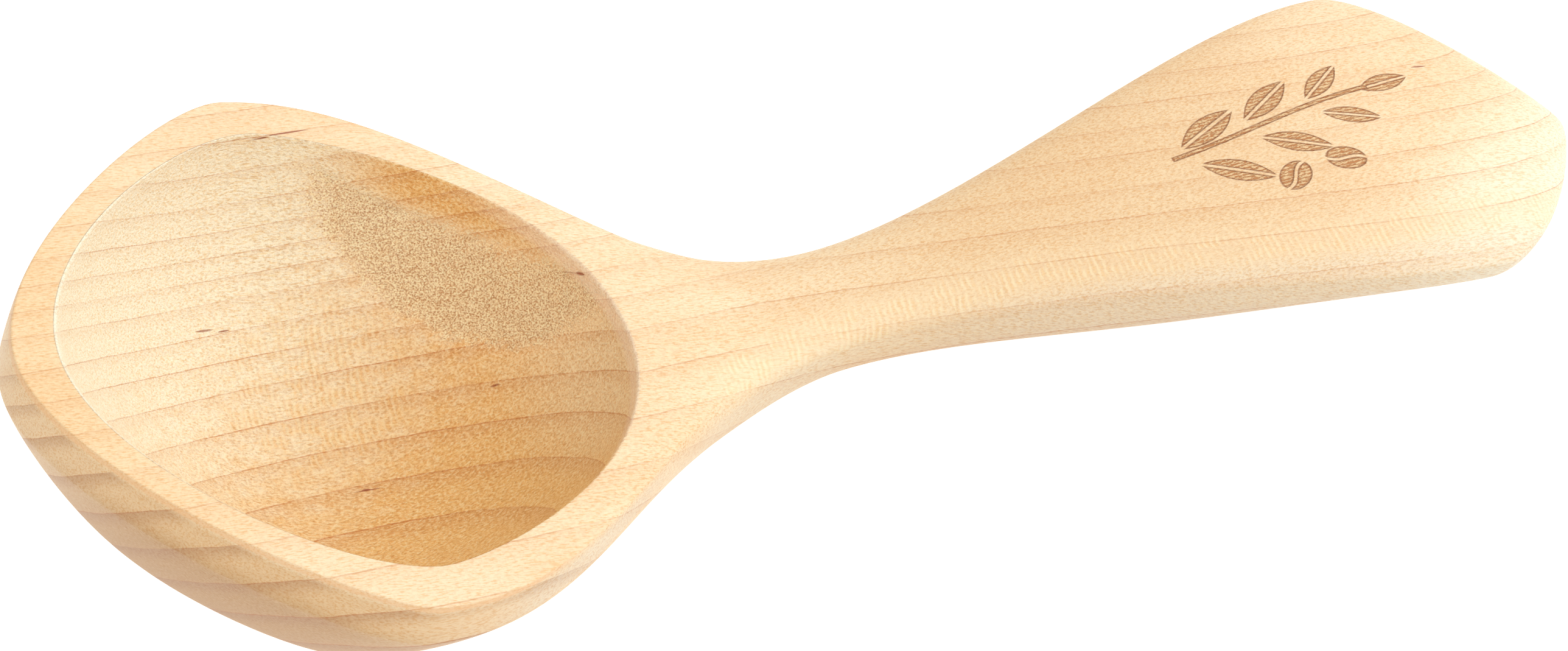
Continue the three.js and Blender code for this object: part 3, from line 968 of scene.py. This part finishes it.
# The burnt-in sprig: its stem, then for each leaf and bean its middle, turn, half length and half width
STEM_MIDDLE_X = 118.2
STEM_HALF_LENGTH = 10.8
STEM_HALF_WIDTH = 0.26
STEM_START_Y = 2.0
STEM_RISE = 2.8
STEM_RISE_X = (105.4, 130.4)
LEAVES = [
    ((112, 4.4), 24, 3.6, 1.31),
    ((112.4, -1.2), -32, 3.5, 1.25),
    ((118.7, 5.9), 30, 3.5, 1.25),
    ((119.1, 0.2), -28, 3.4, 1.19),
    ((124.9, 6.5), 34, 3, 1.06),
    ((125.7, 1.8), -22, 2.9, 1),
    ((130.9, 4.9), 6, 2.9, 1),
]
BEANS = [((116.9, -3.5), 38, 1.9, 1.38), ((122.4, -3), -20, 1.9, 1.38)]

# The unburnt rib of a leaf and groove of a bean, as shares of its half width, and how the groove bends
RIB_SHARE = 0.14
GROOVE_SHARE = 0.13
GROOVE_BEND = 0.22
GROOVE_TURN = 2.6

# How it is burnt: its uneven edge, the scan lines in it and the dark line round it
BURN_EDGE = (0.03, -0.05)
BURN_EDGE_UNEVEN = 0.12
SCAN_PITCH = 0.36
SCAN_FIBRE = 0.7
SCAN_GRAIN = 2.0
SCAN_CONTRAST = 0.9
BURN_LINE_INSET = 0.05
BURN_LINE = (0.13, 0.04)
BURN_LINE_SHARE = 0.6


def local_place(nodes, place, middle, turn, half_length, half_width):
    """A place as seen from a turned oval: along and across, in its own half sizes."""
    node = nodes.new("ShaderNodeMapping", vector_type="TEXTURE")
    nodes.put(place, node.inputs["Vector"])
    node.inputs["Location"].default_value = (*middle, 0)
    node.inputs["Rotation"].default_value = (0, 0, math.radians(turn))
    node.inputs["Scale"].default_value = (half_length, half_width, 1)
    along, across, _ = nodes.parts(Field(nodes, node.outputs[0]))
    return along, across


def sprig(nodes, x, y):
    """How far outside the burnt-in sprig a place lies, in mm: below zero on its leaves, beans and stem."""
    place = nodes.vector(x, y, 0.0)
    stem_line = STEM_START_Y + nodes.smooth(x, *STEM_RISE_X) * STEM_RISE
    stem_ends = nodes.math("ABSOLUTE", x - STEM_MIDDLE_X) - STEM_HALF_LENGTH
    outside = nodes.math("MAXIMUM", nodes.math("ABSOLUTE", y - stem_line) - STEM_HALF_WIDTH, stem_ends)
    for leaf in LEAVES:
        along, across = local_place(nodes, place, *leaf)
        rib = RIB_SHARE - nodes.math("ABSOLUTE", across)
        blade = (nodes.math("ABSOLUTE", across) + along * along - 1.0) * leaf[-1]
        outside = nodes.math("MINIMUM", outside, nodes.math("MAXIMUM", blade, rib * leaf[-1]))
    for bean in BEANS:
        along, across = local_place(nodes, place, *bean)
        groove_line = nodes.math("SINE", along * GROOVE_TURN) * GROOVE_BEND
        groove = GROOVE_SHARE - nodes.math("ABSOLUTE", across - groove_line)
        body = (nodes.math("SQRT", along * along + across * across) - 1.0) * bean[-1]
        outside = nodes.math("MINIMUM", outside, nodes.math("MAXIMUM", body, groove * bean[-1]))
    return outside


def with_sprig(wood, tone):
    """The wood with the sprig burnt in, where it is burnt and how high its scan lines stand."""
    nodes = wood.nodes
    uneven_x = wood.x + (wood.grain - 0.5) * BURN_EDGE_UNEVEN
    uneven_y = wood.y + (wood.fibre - 0.5) * BURN_EDGE_UNEVEN
    outside = sprig(nodes, uneven_x, uneven_y)
    burnt = nodes.smooth(outside, *BURN_EDGE) * wood.top
    scan = nodes.math("SINE", (wood.y + (wood.fibre - 0.5) * SCAN_FIBRE) * (2 * math.pi / SCAN_PITCH))
    lit = nodes.smooth(scan + (wood.grain - 0.5) * SCAN_GRAIN, -SCAN_CONTRAST, SCAN_CONTRAST)
    tone = nodes.blend(burnt, tone, nodes.blend(lit, BURNT_DARK, BURNT_LIGHT))
    burn_line = nodes.smooth(nodes.math("ABSOLUTE", outside + BURN_LINE_INSET), *BURN_LINE) * wood.top
    return nodes.blend(burn_line * BURN_LINE_SHARE, tone, BURNT_EDGE), burnt, scan


# The finish: how rough it is, and the relief in mm
ROUGHNESS = 0.4
ROUGHNESS_FIBRE = 0.16
ROUGHNESS_PATCH = 0.25
ROUGHNESS_BURNT = 0.2
RELIEF_FIBRE = 0.03
RELIEF_GRAIN = 0.04
RELIEF_GRAIN_HOLLOW = 0.14
RELIEF_PATCH = 0.12
RELIEF_BURNT = 0.08
RELIEF_SCAN = 0.03


def maple():
    """Hard maple with a satin oil finish, its grain running through the whole scoop."""
    material = bpy.data.materials.new("maple")
    nodes = Nodes(material)
    wood = Wood(nodes)
    outside = shaded_bowl_outside(wood)
    gold_and_shade = golden_and_shaded_share(wood)
    shade, line = growth_rings(wood)
    patch = torn_patch(wood)
    roll = off_roll(wood)

    tone = plain_tone(wood, gold_and_shade, outside)
    tone = with_flank_highlights(wood, tone, roll)
    tone = with_ring_shade(wood, tone, shade, gold_and_shade, outside)
    tone = with_grain(wood, tone, outside)
    tone = with_ripple_sheen(wood, tone, roll)
    tone = with_ring_lines(wood, tone, line)
    tone = with_torn_patch(wood, tone, patch)
    tone = with_edge_highlights(wood, tone)
    tone = with_streaks(wood, tone)
    tone, burnt, scan = with_sprig(wood, tone)

    roughness = ROUGHNESS + wood.fibre * ROUGHNESS_FIBRE
    roughness = roughness + patch * ROUGHNESS_PATCH + burnt * ROUGHNESS_BURNT
    relief = wood.fibre * RELIEF_FIBRE + wood.grain * (RELIEF_GRAIN + wood.hollow * RELIEF_GRAIN_HOLLOW)
    relief = relief + wood.torn * patch * RELIEF_PATCH - burnt * RELIEF_BURNT + scan * burnt * RELIEF_SCAN
    bump = nodes.new("ShaderNodeBump")
    bump.inputs["Strength"].default_value = 1.0
    bump.inputs["Distance"].default_value = MM
    nodes.put(relief, bump.inputs["Height"])
    shader = nodes.new("ShaderNodeBsdfPrincipled")
    nodes.put(tone, shader.inputs["Base Color"])
    nodes.put(roughness, shader.inputs["Roughness"])
    nodes.tree.links.new(bump.outputs[0], shader.inputs["Normal"])
    output = nodes.new("ShaderNodeOutputMaterial")
    nodes.tree.links.new(shader.outputs[0], output.inputs[0])
    return material


def scoop_object():
    """The scoop's skin as one mesh, which keeps each point's place in the drawing frame for the wood."""
    points, kind, faces = weld(*scoop_faces())
    mesh = bpy.data.meshes.new("maple_scoop")
    mesh.from_pydata((laid_down(points) * MM).tolist(), [], faces)
    mesh.shade_smooth()
    drawn = mesh.attributes.new("drawn", "FLOAT_VECTOR", "POINT")
    drawn.data.foreach_set("vector", points.ravel())
    for name, number in (("underside", UNDERSIDE), ("hollow", HOLLOW)):
        share = mesh.attributes.new(name, "FLOAT", "POINT")
        share.data.foreach_set("value", (kind == number).astype(float))
    mesh.materials.append(maple())
    scoop = bpy.data.objects.new("maple_scoop", mesh)
    bpy.context.scene.collection.objects.link(scoop)
    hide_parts("scoop_body")
    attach(scoop, "root")


def backdrop_rays(nodes):
    """1 for rays that should see a white backdrop, straight, in gloss or through glass, else 0."""
    path = nodes.new("ShaderNodeLightPath")
    names = ("Is Camera Ray", "Is Glossy Ray", "Is Transmission Ray")
    straight, in_gloss, through_glass = (Field(nodes, path.outputs[name]) for name in names)
    return nodes.math("MAXIMUM", nodes.math("MAXIMUM", straight, in_gloss), through_glass)


def plain_floor():
    """A white table that keeps a soft shadow and is otherwise as white as the backdrop."""
    material = bpy.data.materials.new("white_table")
    nodes = Nodes(material)
    diffuse = nodes.new("ShaderNodeBsdfDiffuse")
    diffuse.inputs["Color"].default_value = (TABLE_GREY, TABLE_GREY, TABLE_GREY, 1)
    glow = nodes.new("ShaderNodeEmission")
    nodes.put(backdrop_rays(nodes) * TABLE_GLOW, glow.inputs["Strength"])
    both = nodes.new("ShaderNodeAddShader")
    nodes.tree.links.new(diffuse.outputs[0], both.inputs[0])
    nodes.tree.links.new(glow.outputs[0], both.inputs[1])
    output = nodes.new("ShaderNodeOutputMaterial")
    nodes.tree.links.new(both.outputs[0], output.inputs[0])
    mesh = bpy.data.meshes.new("table_top")
    half = TABLE_SIDE / 2
    corners = [(-half, -half, 0), (half, -half, 0), (half, half, 0), (-half, half, 0)]
    mesh.from_pydata(corners, [], [(0, 1, 2, 3)])
    mesh.materials.append(material)
    table = bpy.data.objects.new("table_top", mesh)
    bpy.context.scene.collection.objects.link(table)


def looking(azimuth, elevation, roll=0.0):
    """The way back to a camera or lamp that looks at the middle from there, in degrees, and its turn."""
    a, e, r = (math.radians(v) for v in (azimuth, elevation, roll))
    back = Vector((math.sin(a) * math.cos(e), -math.cos(a) * math.cos(e), math.sin(e)))
    right = Vector((math.cos(a), math.sin(a), 0))
    up = back.cross(right)
    right, up = right * math.cos(r) + up * math.sin(r), up * math.cos(r) - right * math.sin(r)
    return back, Matrix((right, up, back)).transposed()


def lamp(name, azimuth, elevation, distance, size, power):
    """A square soft lamp that looks at the scoop."""
    data = bpy.data.lights.new(name, "AREA")
    data.size = size
    data.energy = power
    item = bpy.data.objects.new(name, data)
    back, turn = looking(azimuth, elevation)
    item.matrix_world = Matrix.Translation(back * distance) @ turn.to_4x4()
    bpy.context.scene.collection.objects.link(item)


def photograph_camera():
    """The camera at the photograph's viewing angle."""
    data = bpy.data.cameras.new("camera")
    data.sensor_fit = "HORIZONTAL"
    data.angle = math.radians(CAMERA_VIEW_ANGLE)
    data.clip_start = CAMERA_CLIP
    item = bpy.data.objects.new("camera", data)
    back, turn = looking(CAMERA_AZIMUTH, CAMERA_ELEVATION, CAMERA_ROLL)
    place = (Vector(CAMERA_TARGET) + back * CAMERA_DISTANCE) * MM
    item.matrix_world = Matrix.Translation(place) @ turn.to_4x4()
    bpy.context.scene.collection.objects.link(item)
    bpy.context.scene.camera = item


def white_studio():
    """Even white surroundings and soft lamps."""
    world = bpy.data.worlds.new("studio")
    nodes = Nodes(world)
    background = nodes.new("ShaderNodeBackground")
    background.inputs["Color"].default_value = (1, 1, 1, 1)
    nodes.put(SKY_LIGHT + backdrop_rays(nodes) * (1 - SKY_LIGHT), background.inputs["Strength"])
    output = nodes.new("ShaderNodeOutputWorld")
    nodes.tree.links.new(background.outputs[0], output.inputs[0])
    bpy.context.scene.world = world
    for name, azimuth, elevation, power, size in SOFTBOXES:
        lamp(name, azimuth, elevation, LAMP_DISTANCE, size, power)
    bpy.context.scene.view_settings.view_transform = "Standard"


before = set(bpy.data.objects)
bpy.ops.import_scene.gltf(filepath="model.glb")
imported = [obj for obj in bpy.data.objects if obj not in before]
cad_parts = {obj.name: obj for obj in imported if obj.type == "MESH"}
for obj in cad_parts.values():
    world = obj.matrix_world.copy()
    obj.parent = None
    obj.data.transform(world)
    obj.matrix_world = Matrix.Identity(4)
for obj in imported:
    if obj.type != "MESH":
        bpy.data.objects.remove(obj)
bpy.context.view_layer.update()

scoop_object()
plain_floor()
white_studio()
photograph_camera()
